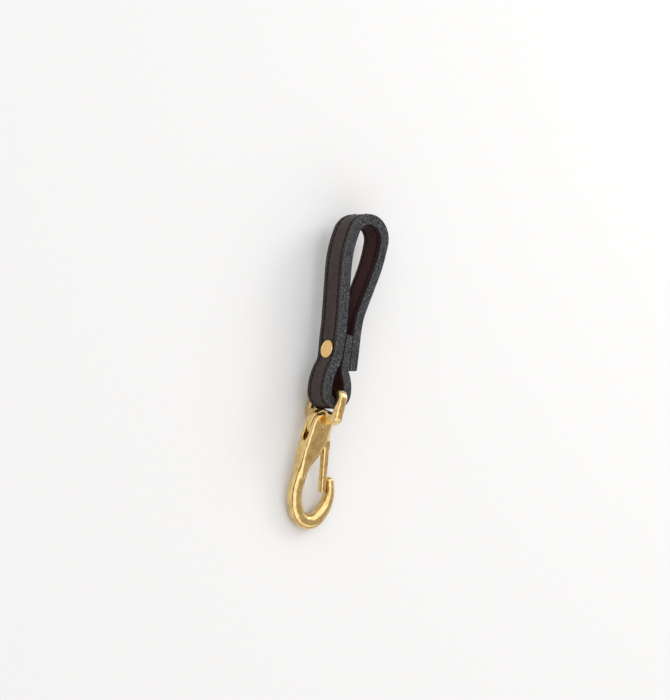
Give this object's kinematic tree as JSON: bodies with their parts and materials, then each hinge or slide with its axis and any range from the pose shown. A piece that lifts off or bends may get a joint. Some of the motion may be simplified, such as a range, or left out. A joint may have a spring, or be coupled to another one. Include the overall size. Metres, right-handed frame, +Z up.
{
  "type": "wristlet keychain",
  "caption": "Short riveted leather hand loop with a brass lever snap hook, for carrying keys on the wrist or hanging them up.",
  "frame": {"origin": "on the surface that the object lies on, under the middle of its bounding box", "axes": "+Y runs from the snap hook to the hand loop, +Z is up from the surface and nearly along the strap's width, and +X is across both, towards the side of the hook's gate"},
  "size_m": [0.0296, 0.1668, 0.0307],
  "materials": {
    "leather_outer": "satin",
    "leather_lining": "satin",
    "thread": "matte",
    "rivet_brass": "satin",
    "cast_brass": "polished",
    "spring_steel": "satin"
  },
  "bodies": {
    "strap": {"outer_leather": "leather_outer", "lining_leather": "leather_lining", "upper_seam_outer_thread": "thread", "upper_seam_lining_thread": "thread", "lower_seam_outer_thread": "thread", "lower_seam_lining_thread": "thread", "rivet_cap": "rivet_brass", "rivet_stud": "rivet_brass"},
    "lever": {"lever": "cast_brass"},
    "hook": {"hook_body": "cast_brass", "pivot_pin": "cast_brass", "gate_spring": "spring_steel"}
  },
  "joints": [
    {"name": "eye_swing", "type": "hinge", "parent": "strap", "child": "lever", "pos_m": [-0.00505, -0.01113, 0.01655], "axis": [0, -0.1805, 0.9836], "range_deg": [-90, 90]},
    {"name": "gate", "type": "hinge", "parent": "lever", "child": "hook", "pos_m": [-0.00555, -0.02922, 0.01323], "axis": [0, -0.1805, 0.9836], "range_deg": [0, 18], "stiffness_Nm_per_rad": 0.25, "springref_deg": -22.92, "deforming": ["gate_spring"]}
  ]
}
